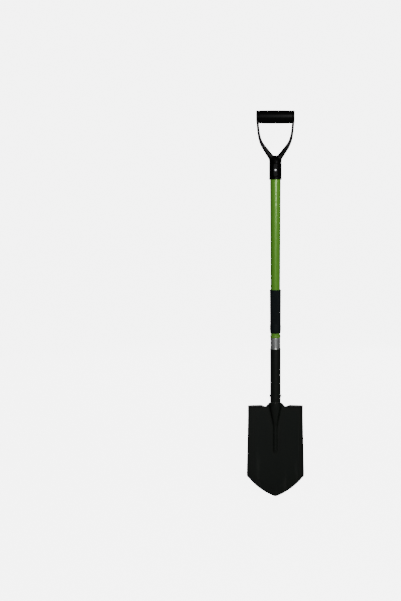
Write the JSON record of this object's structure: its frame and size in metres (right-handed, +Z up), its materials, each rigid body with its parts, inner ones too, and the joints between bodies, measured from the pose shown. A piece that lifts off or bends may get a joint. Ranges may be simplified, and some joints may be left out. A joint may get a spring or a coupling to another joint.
{
  "type": "detecting shovel",
  "caption": "D-grip digging spade for metal detecting: pointed steel blade on a tubular socket, tapered tube handle with rubber hand grip.",
  "frame": {"origin": "on the shaft's axis, at the height of the blade's tip", "axes": "+Z up the shaft to the D-grip, -Y out of the blade's working face, +X to the right seen from that side"},
  "size_m": [0.161, 0.0434, 1.0595],
  "materials": {
    "black_paint": "satin black baked paint on steel",
    "green_paint": "semi-gloss leaf green paint on a steel tube",
    "green_plastic": "moulded green plastic, satin",
    "black_plastic": "moulded black plastic with a fine grain",
    "black_rubber": "matt black rubber with fine lengthwise ribs",
    "bright_steel": "bright drawn steel, lengthwise polish",
    "zinc_steel": "zinc plated steel",
    "nylon": "natural nylon"
  },
  "bodies": {
    "handle": {"blade": "black_paint", "socket_tube": "black_paint", "frog_weld_left": "black_paint", "frog_weld_right": "black_paint", "socket_rivet": "black_paint", "handle_tube": "green_paint", "ferrule": "bright_steel", "collar_ring": "green_plastic", "rubber_grip": "black_rubber", "lower_core_plug": "nylon", "upper_core_plug": "nylon", "grip_yoke": "black_plastic", "grip_rivet": "zinc_steel", "grip_rivet_washer": "zinc_steel", "crossbar_rod": "zinc_steel", "rod_washer_left": "zinc_steel", "rod_washer_right": "zinc_steel"},
    "crossbar": {"crossbar_sleeve": "black_plastic", "crossbar_bush_left": "nylon", "crossbar_bush_right": "nylon"}
  },
  "joints": [
    {"name": "crossbar_turn", "type": "hinge", "parent": "handle", "child": "crossbar", "pos_m": [0, 0, 1.0424], "axis": [1, 0, 0], "continuous": true}
  ]
}
